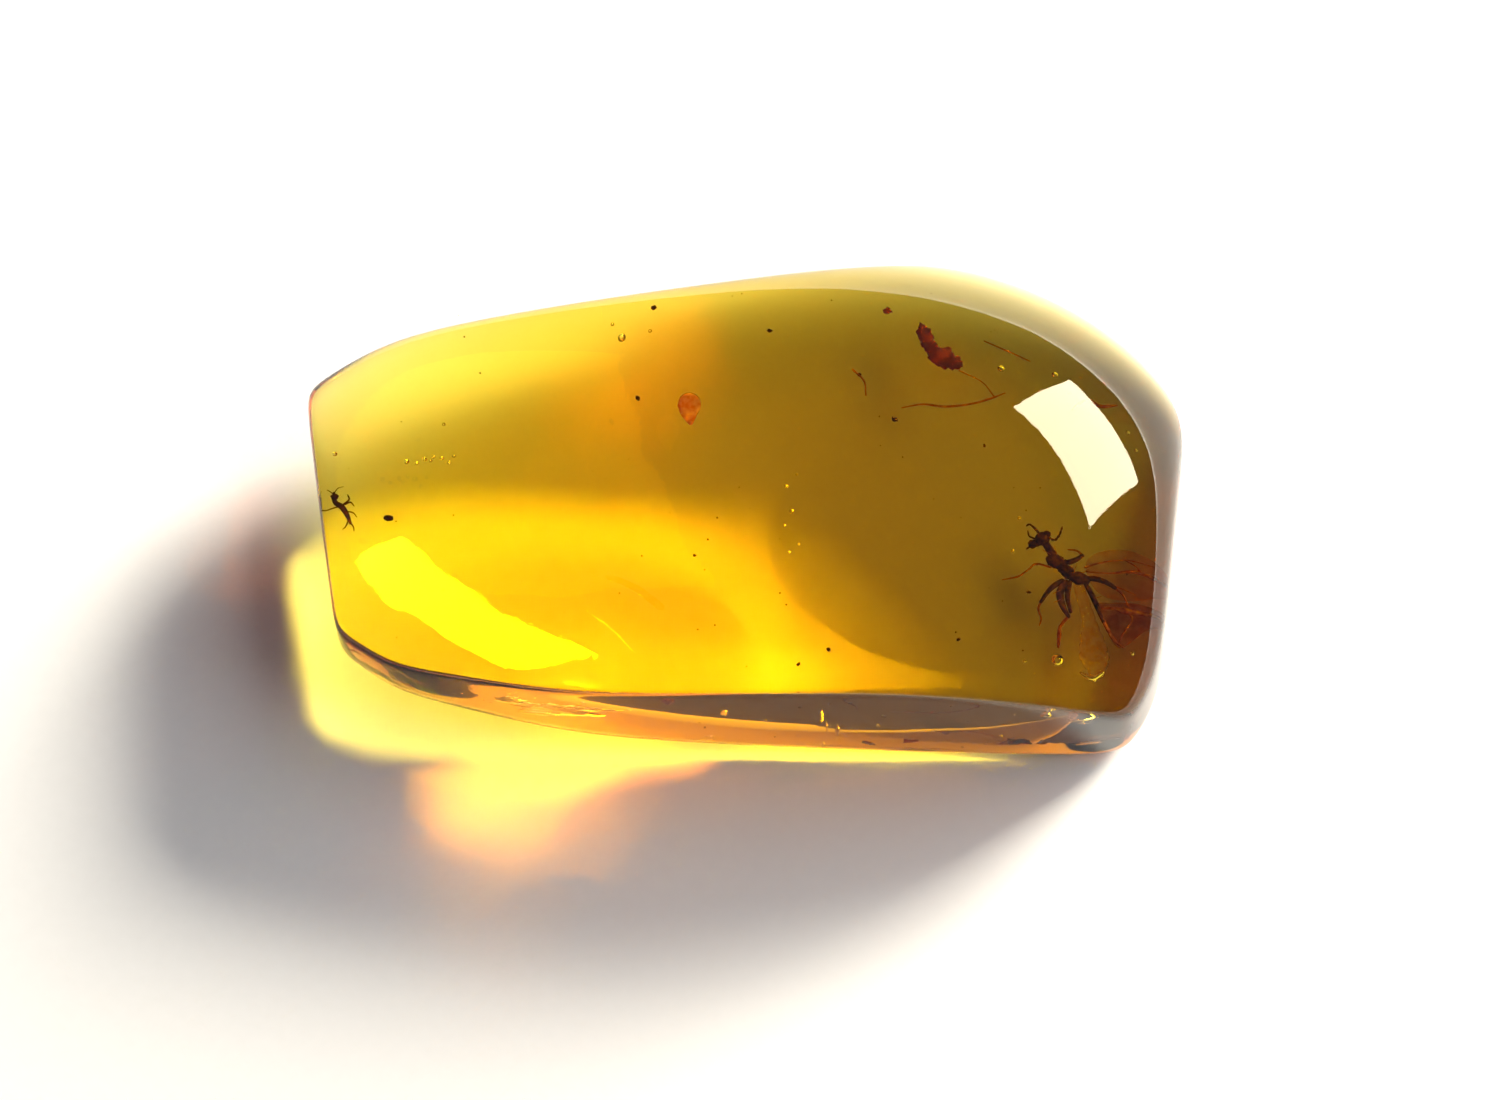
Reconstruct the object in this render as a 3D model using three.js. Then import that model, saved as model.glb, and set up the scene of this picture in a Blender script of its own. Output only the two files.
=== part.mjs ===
// A tumbled, hand-polished piece of clear amber, about 24 mm long, lying on its underside.
//
// The piece grew as one lump of resin, so it is one solid. Its top swells towards the thick
// right end in one broad dome, and its belly is a flatter dome that lifts off the ground
// towards the left end and the back. Polishing left slightly flat faces between the two: a
// nearly level one on top, upright ones along the front and across the narrow left end, and
// small bevels under the edges. They all run into each other without a crease. The belly is
// ground flat where the piece rests.
//
// +X points to the thick end, +Y to the back and +Z up. The origin is at the middle of the
// bounding box, on the underside.

import * as THREE from 'three';

// Driving dimensions, in millimetres.
const HEART_HEIGHT = 2.4; // height of the heart, the point that the stone is measured from
const FARTHEST_REACH = 30; // no part of the stone is farther from the heart than this

// The skin's mesh: columns round the stone, and rows from the underside to the top. They
// crowd where the skin turns: one radian of turning counts for as much as some millimetres.
const COLUMNS = { count: 100, turnWorth: 0.8 };
const ROWS = { count: 40, turnWorth: 2.5 };
const FINE_STEPS = 500; // steps in which a curve of the skin is measured before it is divided

// The two broad swellings: egg-like bodies whose skins bound the stone from above and below.
// fullness bends an outline from an ellipse at 2 towards a box at higher numbers.
const SWELLINGS = [
  {
    name: 'dome',
    centre: { x: -1.6, y: -3, z: -7.6 }, // from the heart, far below the stone
    reach: { x: 15.9, y: 12.7, z: 10.7 }, // from that centre to its skin along each axis
    fullness: 2.8,
    softness: 0.1,
  },
  {
    name: 'belly',
    centre: { x: 7, y: -0.8, z: 5.3 },
    reach: { x: 25.5, y: 16, z: 8 },
    fullness: 2,
    softness: 0.15,
  },
];

// The polished faces. Each faces a compass direction, counted from +X towards +Y, and leans
// up or down by a tilt, both in degrees. distance is how far it is from the heart. softness
// is how broadly it is rounded off where it meets its neighbours.
const FACES = [
  { name: 'top', direction: 180, tilt: 86, distance: 2.65, softness: 0.1 },
  { name: 'right end', direction: -7, tilt: 6, distance: 11.5, softness: 0.35 },
  { name: 'back right', direction: 64, tilt: 14, distance: 12.1, softness: 0.5 },
  { name: 'back', direction: 101, tilt: 12, distance: 6.5, softness: 0.3 },
  { name: 'back left corner', direction: 124, tilt: 6, distance: 9.5, softness: 0.3 },
  { name: 'left end', direction: 189, tilt: 1, distance: 11.6, softness: 0.12 },
  { name: 'front left corner', direction: 235, tilt: 1, distance: 9.9, softness: 0.15 },
  { name: 'front left', direction: 259, tilt: 0, distance: 7.1, softness: 0.15 },
  { name: 'front', direction: 269, tilt: 0, distance: 6.4, softness: 0.15 },
  { name: 'front right corner', direction: 321, tilt: 2, distance: 12, softness: 0.4 },
  { name: 'under the front', direction: 265, tilt: -45, distance: 6.3, softness: 0.3 },
  { name: 'under the back', direction: 98, tilt: -40, distance: 6.8, softness: 0.3 },
  { name: 'under the right end', direction: -5, tilt: -40, distance: 11.2, softness: 0.3 },
  { name: 'underside', direction: 0, tilt: -90, distance: 2.6, softness: 0.15 },
];

const AMBER_COLOUR = 0xd08a12;

// The unit vector with a compass direction and a tilt, both in radians.
function towards(direction, tilt) {
  return new THREE.Vector3(
    Math.cos(tilt) * Math.cos(direction),
    Math.cos(tilt) * Math.sin(direction),
    Math.sin(tilt),
  );
}

const facing = FACES.map((face) => ({
  ...face,
  normal: towards(
    THREE.MathUtils.degToRad(face.direction),
    THREE.MathUtils.degToRad(face.tilt),
  ),
}));

// How far a point sticks out of a face, or lies behind it when negative.
function beyondFace(face, point) {
  return face.normal.dot(point) - face.distance;
}

// How far a point sticks out of a swelling, or lies inside it when negative.
function beyondSwelling({ centre, reach, fullness }, point) {
  let sum = 0;
  for (const axis of ['x', 'y', 'z']) {
    const share = Math.abs(point[axis] - centre[axis]) / reach[axis];
    sum += share ** fullness;
  }
  return (sum ** (1 / fullness) - 1) * reach.z;
}

// Whether a point is outside the stone. Every swelling and face adds to a sum that passes 1
// just inside the nearest of them, and earlier where two are equally near, which rounds the
// edge between them. Below the ground-flat underside is outside as well.
function isOutside(point) {
  if (point.z < -HEART_HEIGHT) {
    return true;
  }
  let sum = 0;
  for (const swelling of SWELLINGS) {
    sum += Math.exp(beyondSwelling(swelling, point) / swelling.softness);
  }
  for (const face of facing) {
    sum += Math.exp(beyondFace(face, point) / face.softness);
  }
  return sum > 1;
}

// The point where a ray from the heart leaves the stone, found by halving.
function skinAt(direction, tilt) {
  const ray = towards(direction, tilt);
  let inside = 0;
  let outside = FARTHEST_REACH;
  const point = new THREE.Vector3();
  while (outside - inside > 1e-6) {
    const middle = (inside + outside) / 2;
    point.copy(ray).multiplyScalar(middle);
    if (isOutside(point)) {
      outside = middle;
    } else {
      inside = middle;
    }
  }
  return point.copy(ray).multiplyScalar(inside);
}

// Divides a curve of the skin into parts and returns the angles where they meet. The parts
// are equal in length plus turning, so they crowd round the edges of the stone.
function divide(from, to, { count, turnWorth }, pointAt) {
  const angles = [from];
  const worths = [0];
  let last = pointAt(from);
  let lastMove = null;
  for (let step = 1; step <= FINE_STEPS; step += 1) {
    const angle = from + ((to - from) * step) / FINE_STEPS;
    const point = pointAt(angle);
    const move = point.clone().sub(last);
    const turn = lastMove ? lastMove.angleTo(move) : 0;
    angles.push(angle);
    worths.push(worths.at(-1) + move.length() + turnWorth * turn);
    last = point;
    lastMove = move;
  }
  const meeting = [];
  let step = 1;
  for (let part = 0; part <= count; part += 1) {
    const worth = (worths.at(-1) * part) / count;
    while (worths[step] < worth && step < FINE_STEPS) {
      step += 1;
    }
    const share = (worth - worths[step - 1]) / (worths[step] - worths[step - 1]);
    meeting.push(angles[step - 1] + (angles[step] - angles[step - 1]) * share);
  }
  return meeting;
}

// The points of the skin: the lowest one, then the columns from low to high, then the top one.
function skinPoints() {
  const points = [skinAt(0, -Math.PI / 2)];
  const directions = divide(0, 2 * Math.PI, COLUMNS, (direction) => skinAt(direction, 0));
  for (const direction of directions.slice(0, COLUMNS.count)) {
    const tilts = divide(-Math.PI / 2, Math.PI / 2, ROWS, (tilt) => skinAt(direction, tilt));
    for (const tilt of tilts.slice(1, ROWS.count)) {
      points.push(skinAt(direction, tilt));
    }
  }
  points.push(skinAt(0, Math.PI / 2));
  return points;
}

// The triangles between neighbouring columns, as numbers of points, counter-clockwise from
// outside.
function skinTriangles() {
  const triangles = [];
  const rings = ROWS.count - 1;
  const top = COLUMNS.count * rings + 1;
  for (let column = 0; column < COLUMNS.count; column += 1) {
    const here = 1 + column * rings;
    const next = 1 + ((column + 1) % COLUMNS.count) * rings;
    triangles.push(0, next, here);
    for (let ring = 0; ring < rings - 1; ring += 1) {
      triangles.push(here + ring, next + ring, next + ring + 1);
      triangles.push(here + ring, next + ring + 1, here + ring + 1);
    }
    triangles.push(here + rings - 1, next + rings - 1, top);
  }
  return triangles;
}

function amber() {
  const geometry = new THREE.BufferGeometry().setFromPoints(skinPoints());
  geometry.setIndex(skinTriangles());
  geometry.computeBoundingBox();
  const middle = geometry.boundingBox.getCenter(new THREE.Vector3());
  geometry.translate(-middle.x, -middle.y, -geometry.boundingBox.min.z);
  geometry.computeVertexNormals();
  const material = new THREE.MeshStandardMaterial({
    color: AMBER_COLOUR,
    roughness: 0.05,
    metalness: 0,
  });
  const mesh = new THREE.Mesh(geometry, material);
  mesh.name = 'amber';
  return mesh;
}

const fossil = new THREE.Group();
fossil.add(amber());

export default fossil;
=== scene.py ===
# %% [markdown]
# # Insects in a polished piece of amber
# Amber is fossil tree resin. This piece was tumbled and polished by hand until it was as clear
# as glass, and two small flies, bubbles, crumbs and bits of plant are sealed inside it.
# Almost all of its look comes from light that goes through it: the window shines in through
# the flat top, crosses the yellow resin, and lights the table under the stone in one bright
# pool. So the lesson models the outside as one exact, smooth skin, gives it a true glass
# material that takes up blue light, and puts every insect and bubble inside as a real mesh.

# %% Load the frame
import math

import bmesh
import bpy
import numpy as np
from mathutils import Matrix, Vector, noise


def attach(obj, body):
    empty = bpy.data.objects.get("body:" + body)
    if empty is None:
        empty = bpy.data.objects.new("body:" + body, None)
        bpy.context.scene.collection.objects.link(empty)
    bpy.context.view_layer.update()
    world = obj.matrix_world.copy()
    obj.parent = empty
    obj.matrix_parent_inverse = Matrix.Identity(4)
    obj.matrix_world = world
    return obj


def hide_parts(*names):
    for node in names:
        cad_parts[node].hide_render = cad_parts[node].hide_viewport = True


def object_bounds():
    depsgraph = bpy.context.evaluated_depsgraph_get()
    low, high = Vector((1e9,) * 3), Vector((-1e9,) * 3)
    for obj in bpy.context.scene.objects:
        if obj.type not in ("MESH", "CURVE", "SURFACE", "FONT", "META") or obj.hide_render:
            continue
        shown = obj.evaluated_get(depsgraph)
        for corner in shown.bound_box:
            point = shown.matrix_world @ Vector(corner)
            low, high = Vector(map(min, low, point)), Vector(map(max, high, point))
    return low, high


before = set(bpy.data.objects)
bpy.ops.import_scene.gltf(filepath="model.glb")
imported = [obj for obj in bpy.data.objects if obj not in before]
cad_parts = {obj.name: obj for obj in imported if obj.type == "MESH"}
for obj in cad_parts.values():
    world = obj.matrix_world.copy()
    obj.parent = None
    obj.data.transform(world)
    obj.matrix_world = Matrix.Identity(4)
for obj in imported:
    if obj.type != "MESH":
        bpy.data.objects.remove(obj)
cad_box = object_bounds()
MM = 0.001  # the lesson's sizes are in millimetres, and Blender's in metres
print("CAD box in mm:", [[round(side / MM, 2) for side in corner] for corner in cad_box])

# %% [markdown]
# ## Three small helpers
# A colour is easiest to choose as a hex value from a colour picker, but Blender's sockets
# expect linear light, so one function converts it. One function adds a shader node with its
# settings and links. And one turns points and faces into a named piece that rides with the
# stone and knows which finish it has.

# %% Colour helper


def linear(hex_colour):
    """A hex colour, as a colour picker shows it, as linear red, green, blue and alpha."""
    channels = []
    for start in (1, 3, 5):
        value = int(hex_colour[start:start + 2], 16) / 255
        value = value / 12.92 if value <= 0.04045 else ((value + 0.055) / 1.055) ** 2.4
        channels.append(value)
    return (*channels, 1.0)


print("a honey colour in linear light:", [round(c, 3) for c in linear("#d08a12")])

# %% Node helper


def add_node(tree, kind, inputs=None, **settings):
    """Adds a node. An input that is another node's socket is linked, any other is set."""
    node = tree.nodes.new(kind)
    for name, value in settings.items():
        setattr(node, name, value)
    for name, value in (inputs or {}).items():
        if isinstance(value, bpy.types.NodeSocket):
            tree.links.new(value, node.inputs[name])
        else:
            node.inputs[name].default_value = value
    return node


def new_material(name):
    """An empty material, its node tree, and its output node."""
    material = bpy.data.materials.new(name)
    material.use_nodes = True
    tree = material.node_tree
    tree.nodes.clear()
    return material, tree, add_node(tree, "ShaderNodeOutputMaterial")


# %% Piece helper


def make_piece(name, points, faces, material, slot):
    """A smooth mesh piece from points in millimetres. It rides with the stone."""
    mesh = bpy.data.meshes.new(name)
    mesh.from_pydata([[side * MM for side in point] for point in points], [], faces)
    mesh.polygons.foreach_set("use_smooth", [True] * len(mesh.polygons))
    mesh.materials.append(material)
    mesh.update()
    piece = bpy.data.objects.new(name, mesh)
    bpy.context.collection.objects.link(piece)
    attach(piece, "root")
    print(f"{name}: {len(faces)} faces")
    return piece


# %% [markdown]
# ## The shape of the stone
# A pebble that tumbles in a drum and is then held against a polishing wheel ends up as a few
# nearly flat faces that run into each other without a crease. Such a body could be sculpted,
# or carved from a cube with bevels, but then each edge has one fixed radius and the glass
# shows every ripple. Here the skin is a formula instead. The stone is where a sum stays under
# one. Each face adds a term that grows as a point comes near it, so where two faces are
# equally near, the skin is rounded off, broadly where the softness is large. Two more terms
# are wide egg-like swellings: a dome that makes the top rise towards the thick end, and a
# flatter belly that lifts off the ground towards the thin end and the back.
#
# Distances are measured from the heart, a point inside the stone. Directions are compass
# angles from +X towards +Y, and tilts are degrees above the level.

# %% The faces and the swellings
HEART_HEIGHT = 2.4
SWELLINGS = [  # centre, reach, fullness (2 is an ellipsoid, higher is boxier), softness
    ((-1.6, -3.0, -7.6), (15.9, 12.7, 10.7), 2.8, 0.1),  # dome
    ((7.0, -0.8, 5.3), (25.5, 16.0, 8.0), 2.0, 0.15),  # belly
]
FACES = [  # direction, tilt, distance, softness
    (180, 86, 2.65, 0.1),  # top
    (-7, 6, 11.5, 0.35),  # right end
    (64, 14, 12.1, 0.5),  # back right
    (101, 12, 6.5, 0.3),  # back
    (124, 6, 9.5, 0.3),  # back left corner
    (189, 1, 11.6, 0.12),  # left end
    (235, 1, 9.9, 0.15),  # front left corner
    (259, 0, 7.1, 0.15),  # front left
    (269, 0, 6.4, 0.15),  # front
    (321, 2, 12, 0.4),  # front right corner
    (265, -45, 6.3, 0.3),  # under the front
    (98, -40, 6.8, 0.3),  # under the back
    (-5, -40, 11.2, 0.3),  # under the right end
    (0, -90, 2.6, 0.15),  # underside
]


def towards(directions, tilts):
    """Unit vectors with these directions and tilts, in radians."""
    level = np.cos(tilts)
    sides = (level * np.cos(directions), level * np.sin(directions), np.sin(tilts))
    return np.stack(np.broadcast_arrays(*sides), axis=-1)


face_table = np.array(FACES, dtype=float)
face_normals = towards(np.radians(face_table[:, 0]), np.radians(face_table[:, 1]))
face_distances = face_table[:, 2]
face_softnesses = face_table[:, 3]
print(len(FACES), "faces and", len(SWELLINGS), "swellings")

# %% The sum that is one on the skin
LARGEST_POWER = 50  # keeps the sum from overflowing far outside the stone
FARTHEST_REACH = 30.0  # no part of the stone is farther from the heart than this
HALVINGS = 26  # enough to find the skin to a millionth of a millimetre


def crowding(points):
    """The sum at points, and its gradient, which points straight out of the skin."""
    terms = np.exp(np.minimum(
        (points @ face_normals.T - face_distances) / face_softnesses, LARGEST_POWER))
    total = terms.sum(axis=-1)
    gradient = (terms / face_softnesses) @ face_normals
    for centre, reach, fullness, softness in SWELLINGS:
        offset = (points - np.array(centre)) / np.array(reach)
        length = (np.abs(offset) ** fullness).sum(axis=-1) ** (1 / fullness)
        term = np.exp(np.minimum((length - 1) * reach[2] / softness, LARGEST_POWER))
        slope = np.sign(offset) * np.abs(offset) ** (fullness - 1) / np.array(reach)
        slope *= (length ** (1 - fullness) * reach[2] / softness)[..., None]
        total = total + term
        gradient = gradient + term[..., None] * slope
    return total, gradient


def skin_at(directions, tilts):
    """The points where rays from the heart leave the stone, found by halving."""
    rays = towards(directions, tilts)
    inside = np.zeros(rays.shape[:-1])
    outside = np.full(rays.shape[:-1], FARTHEST_REACH)
    down = rays[..., 2] < 0
    outside[down] = np.minimum(outside[down], HEART_HEIGHT / -rays[..., 2][down])
    for _ in range(HALVINGS):
        middle = (inside + outside) / 2
        beyond = crowding(rays * middle[..., None])[0] > 1
        outside = np.where(beyond, middle, outside)
        inside = np.where(beyond, inside, middle)
    return rays * outside[..., None]


print("the skin's highest point over the heart:", skin_at(np.array(0.0), np.array(math.pi / 2)))

# %% [markdown]
# ## From the formula to a mesh
# The mesh is a net of columns round the stone and rows from the underside to the top. With
# even spacing the narrow rounded edges would fall between the rows and look saw-toothed. So
# each curve is divided by worth: its length plus its turning. Rows then gather by themselves
# along every edge, and the edge stays smooth even in glass, which shows the least fault.

# %% Divide curves where the skin turns
COLUMNS = 300
COLUMN_TURN_WORTH = 0.8  # millimetres that one radian of turning counts for
ROWS = 130
ROW_TURN_WORTH = 2.5
FINE_STEPS = 600  # steps in which a curve is measured before it is divided


def divide(angles, points, turn_worth, parts):
    """The angles that divide a curve into parts of equal length plus turning."""
    moves = np.diff(points, axis=0)
    lengths = np.linalg.norm(moves, axis=-1)
    ways = moves / lengths[:, None]
    cosines = np.clip((ways[1:] * ways[:-1]).sum(axis=-1), -1, 1)
    turns = np.concatenate([[0], np.arccos(cosines)])
    worths = np.concatenate([[0], np.cumsum(lengths + turn_worth * turns)])
    return np.interp(np.linspace(0, worths[-1], parts + 1), worths, angles)


round_angles = np.linspace(0, 2 * math.pi, FINE_STEPS + 1)
waist = skin_at(round_angles, np.zeros_like(round_angles))
directions = divide(round_angles, waist, COLUMN_TURN_WORTH, COLUMNS)[:-1]
tilt_angles = np.linspace(-math.pi / 2, math.pi / 2, FINE_STEPS + 1)
profiles = skin_at(directions[:, None], tilt_angles[None, :])
tilts = np.array([divide(tilt_angles, profile, ROW_TURN_WORTH, ROWS) for profile in profiles])
net = skin_at(directions[:, None], tilts[:, 1:-1])
print("columns", len(directions), "rows", tilts.shape[1] - 1)

# %% The stone's points, faces and exact normals
rings = ROWS - 1
lowest = np.array([[0, 0, -HEART_HEIGHT]])
highest = skin_at(np.array([0.0]), np.array([math.pi / 2]))
heart_points = np.concatenate([lowest, net.reshape(-1, 3), highest])
net_faces = []
for column in range(COLUMNS):
    here = 1 + column * rings
    beside = 1 + (column + 1) % COLUMNS * rings
    net_faces.append((0, beside, here))
    for ring in range(rings - 1):
        net_faces.append((here + ring, beside + ring, beside + ring + 1, here + ring + 1))
    net_faces.append((here + rings - 1, beside + rings - 1, len(heart_points) - 1))

skin_normals = crowding(heart_points)[1]
skin_normals /= np.linalg.norm(skin_normals, axis=-1)[:, None]

# The origin is the middle of the box, on the underside. The fine mesh follows the formula a
# little more closely than the CAD's facets do, so it is shrunk to stay inside the CAD's box.
lifted = heart_points + np.array([0, 0, HEART_HEIGHT])
low, high = lifted.min(axis=0), lifted.max(axis=0)
middle_of_box = np.array([(low[0] + high[0]) / 2, (low[1] + high[1]) / 2, 0])
cad_size = (np.array(cad_box[1]) - np.array(cad_box[0])) / MM
CLEARANCE = 0.9999  # keeps rounding from pushing the skin past the box
fit = min(1.0, float((cad_size / (high - low)).min())) * CLEARANCE
stone_points = (lifted - middle_of_box) * fit
print("stone in mm:", (stone_points.max(axis=0) - stone_points.min(axis=0)).round(3), "fit", fit)

# %% [markdown]
# ## Amber
# Amber is a glassy organic solid, and its finish was ground and polished. Its refractive
# index is 1.54. The colour isn't on the surface: each millimetre that light travels inside
# takes a little red, more green and nearly all of the blue. So a thin edge looks pale yellow,
# the middle golden and a long way through it orange red, all from one volume absorption. The
# polish isn't perfect, and broad shallow waves and small pits keep the reflection alive.

# %% Amber material
AMBER_IOR = 1.54
RED_LOSS, GREEN_LOSS, BLUE_LOSS = 24.0, 90.0, 850.0  # taken up per metre of travel
WAVE_SIZE, WAVE_HEIGHT = 2.5, 0.012  # the waves that the polishing wheel leaves
PIT_SIZE, PIT_HEIGHT = 0.25, 0.0006  # the pits that tumbling leaves


def polished_amber():
    """Clear glass that takes up blue light, with a wavy and slightly pitted polish."""
    material, tree, output = new_material("amber_tumbled_and_polished")
    place = add_node(tree, "ShaderNodeTexCoord")
    waves = add_node(tree, "ShaderNodeTexNoise", {
        "Vector": place.outputs["Object"], "Scale": 1 / (WAVE_SIZE * MM), "Detail": 1.0})
    wavy = add_node(tree, "ShaderNodeBump", {
        "Height": waves.outputs["Fac"], "Strength": 1.0, "Distance": WAVE_HEIGHT * MM})
    pits = add_node(tree, "ShaderNodeTexNoise", {
        "Vector": place.outputs["Object"], "Scale": 1 / (PIT_SIZE * MM), "Detail": 3.0})
    pitted = add_node(tree, "ShaderNodeBump", {
        "Height": pits.outputs["Fac"], "Strength": 1.0, "Distance": PIT_HEIGHT * MM,
        "Normal": wavy.outputs["Normal"]})
    shader = add_node(tree, "ShaderNodeBsdfPrincipled", {
        "Base Color": (1, 1, 1, 1), "Transmission Weight": 1.0, "IOR": AMBER_IOR,
        "Roughness": 0.0, "Normal": pitted.outputs["Normal"]})
    most = max(RED_LOSS, GREEN_LOSS, BLUE_LOSS)
    kept = (1 - RED_LOSS / most, 1 - GREEN_LOSS / most, 1 - BLUE_LOSS / most, 1)
    volume = add_node(tree, "ShaderNodeVolumeAbsorption", {"Color": kept, "Density": most})
    tree.links.new(shader.outputs["BSDF"], output.inputs["Surface"])
    tree.links.new(volume.outputs["Volume"], output.inputs["Volume"])
    return material


AMBER = polished_amber()

# %% Make the stone
stone = make_piece("amber_stone", stone_points.tolist(), net_faces, AMBER, "amber")
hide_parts("amber")

# A corner takes the formula's exact direction, except on the ground-flat underside.
UNDERSIDE = Vector((0, 0, -1))
GROUND_SLACK = 0.001  # a point this close to the ground counts as on it
corner_normals = []
for polygon in stone.data.polygons:
    grounded = all(stone.data.vertices[v].co.z < GROUND_SLACK * MM for v in polygon.vertices)
    for vertex in polygon.vertices:
        corner_normals.append(UNDERSIDE if grounded else Vector(skin_normals[vertex]))
stone.data.normals_split_custom_set(corner_normals)
print("corner normals set:", len(corner_normals))

# %% [markdown]
# ## Building bits for what is sealed inside
# Legs, threads and bristles are tubes along a curve, grains and bubbles are small uneven
# balls, and wings and flakes are thin closed sheets. A curve could be a Blender curve object,
# but then its thickness can't change freely along it, so each bit is made as mesh points, and
# the bits of one animal are joined into one piece.

# %% Tubes
TUBE_SIDES = 8
CAP_ANGLES = np.radians([72, 48, 24])  # how far round a tube's end its last rings sit
THINNEST = 0.004  # no tube is thinner than this radius
SIDEWAYS = (0.31, 0.22, 0.92)  # no tube starts along this direction


def bend(before, start, end, after, t):
    """The point at share t between start and end on a smooth curve through all four."""
    return 0.5 * (
        2 * start + (end - before) * t
        + (2 * before - 5 * start + 4 * end - after) * t ** 2
        + (3 * start - before - 3 * end + after) * t ** 3)


def smooth_path(knots, steps=6):
    """Rows of x, y, z and radius on a smooth curve through the knots."""
    knots = np.array(knots, dtype=float)
    padded = np.vstack([2 * knots[0] - knots[1], knots, 2 * knots[-1] - knots[-2]])
    rows = []
    for before, start, end, after in zip(padded, padded[1:], padded[2:], padded[3:]):
        for t in np.linspace(0, 1, steps, endpoint=False):
            rows.append(bend(before, start, end, after, t))
    rows.append(knots[-1])
    return np.array(rows)


def tube(knots, steps=6, groove=0.0, grooves=0):
    """A closed tube with round ends. Grooves pinch it into segments along its length."""
    path = smooth_path(knots, steps)
    centres = path[:, :3]
    radii = np.maximum(path[:, 3], THINNEST)
    if grooves:
        along = np.linspace(0, grooves * math.pi, len(radii))
        radii = radii * (1 - groove * (1 - np.abs(np.sin(along))) ** 2)
    ways = np.gradient(centres, axis=0)
    ways /= np.linalg.norm(ways, axis=1)[:, None]
    rings = []
    for angle in CAP_ANGLES:
        rings.append((centres[0] - ways[0] * radii[0] * math.sin(angle),
                      radii[0] * math.cos(angle), ways[0]))
    rings.extend(zip(centres, radii, ways))
    for angle in CAP_ANGLES[::-1]:
        rings.append((centres[-1] + ways[-1] * radii[-1] * math.sin(angle),
                      radii[-1] * math.cos(angle), ways[-1]))
    side = np.cross(ways[0], SIDEWAYS)
    points = [centres[0] - ways[0] * radii[0]]
    for centre, radius, way in rings:
        side = side - way * side.dot(way)
        side /= np.linalg.norm(side)
        other = np.cross(way, side)
        for turn in np.linspace(0, 2 * math.pi, TUBE_SIDES, endpoint=False):
            points.append(centre + radius * (side * math.cos(turn) + other * math.sin(turn)))
    points.append(centres[-1] + ways[-1] * radii[-1])
    faces = []
    last = len(points) - 1
    for corner in range(TUBE_SIDES):
        after = (corner + 1) % TUBE_SIDES
        faces.append((0, 1 + after, 1 + corner))
        for ring in range(len(rings) - 1):
            here = 1 + ring * TUBE_SIDES
            there = here + TUBE_SIDES
            faces.append((here + corner, here + after, there + after, there + corner))
        end = 1 + (len(rings) - 1) * TUBE_SIDES
        faces.append((end + corner, end + after, last))
    return points, faces


def join(parts):
    """Several bits as one list of points and one of faces."""
    points, faces = [], []
    for part_points, part_faces in parts:
        start = len(points)
        points.extend(part_points)
        faces.extend(tuple(start + v for v in face) for face in part_faces)
    return points, faces


print("a tube has", len(tube([(0, 0, 0, 1), (1, 0, 0, 1)])[1]), "faces")

# %% Grains and bubbles


def unit_ball(level):
    """An even net of points on a ball."""
    ball = bmesh.new()
    bmesh.ops.create_icosphere(ball, subdivisions=level, radius=1.0)
    points = np.array([vertex.co[:] for vertex in ball.verts])
    faces = [tuple(vertex.index for vertex in face.verts) for face in ball.faces]
    ball.free()
    return points, faces


BALLS = {level: unit_ball(level) for level in (1, 2, 3)}


def grain(centre, reach, uneven=0.0, lumps=1.6, seed=0, level=2, turn=0.0):
    """A ball with a reach along each axis, pushed in and out by smooth noise."""
    net, faces = BALLS[level]
    bumps = np.array([
        1 + uneven * noise.noise(Vector(point) * lumps + Vector((seed * 7.3, seed, 0)))
        for point in net])
    spin = np.array([
        [math.cos(turn), -math.sin(turn), 0], [math.sin(turn), math.cos(turn), 0], [0, 0, 1]])
    points = (net * bumps[:, None] * np.array(reach)) @ spin.T + np.array(centre)
    return list(points), faces


# %% Thin sheets
SHEET_RINGS = 10  # rings between the middle of a sheet and its rim


def sheet(outline, thickness, height, steps=5):
    """A thin closed sheet inside a smooth outline. It is thickest in the middle."""
    corners = np.array(outline, dtype=float)
    count = len(corners)
    rim = []
    for i in range(count):
        before, start = corners[i - 1], corners[i]
        end, after = corners[(i + 1) % count], corners[(i + 2) % count]
        for t in np.linspace(0, 1, steps, endpoint=False):
            rim.append(bend(before, start, end, after, t))
    rim = np.array(rim)
    middle = rim.mean(axis=0)
    around = len(rim)
    points, faces = [], []
    for sign in (1, -1):
        start = len(points)
        points.append((*middle, height(*middle) + sign * thickness / 2))
        for ring in range(1, SHEET_RINGS):
            share = ring / SHEET_RINGS
            for x, y in middle + (rim - middle) * share:
                half = thickness / 2 * math.sqrt(1 - share ** 4)
                points.append((x, y, height(x, y) + sign * half))
        for i in range(around):
            j = (i + 1) % around
            fan = (start, start + 1 + i, start + 1 + j)
            faces.append(fan if sign > 0 else fan[::-1])
            for ring in range(SHEET_RINGS - 2):
                here = start + 1 + ring * around
                there = here + around
                quad = (here + i, there + i, there + j, here + j)
                faces.append(quad if sign > 0 else quad[::-1])
    edge = len(points)
    points.extend((x, y, height(x, y)) for x, y in rim)
    upper = 1 + (SHEET_RINGS - 2) * around
    lower = upper + 1 + (SHEET_RINGS - 1) * around
    for i in range(around):
        j = (i + 1) % around
        faces.append((upper + i, edge + i, edge + j, upper + j))
        faces.append((lower + i, lower + j, edge + j, edge + i))
    return points, faces


print("a sheet of 8 corners has", len(sheet([
    (math.cos(a), math.sin(a)) for a in np.linspace(0, 6, 8)], 0.1, lambda x, y: 0)[1]), "faces")

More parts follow.
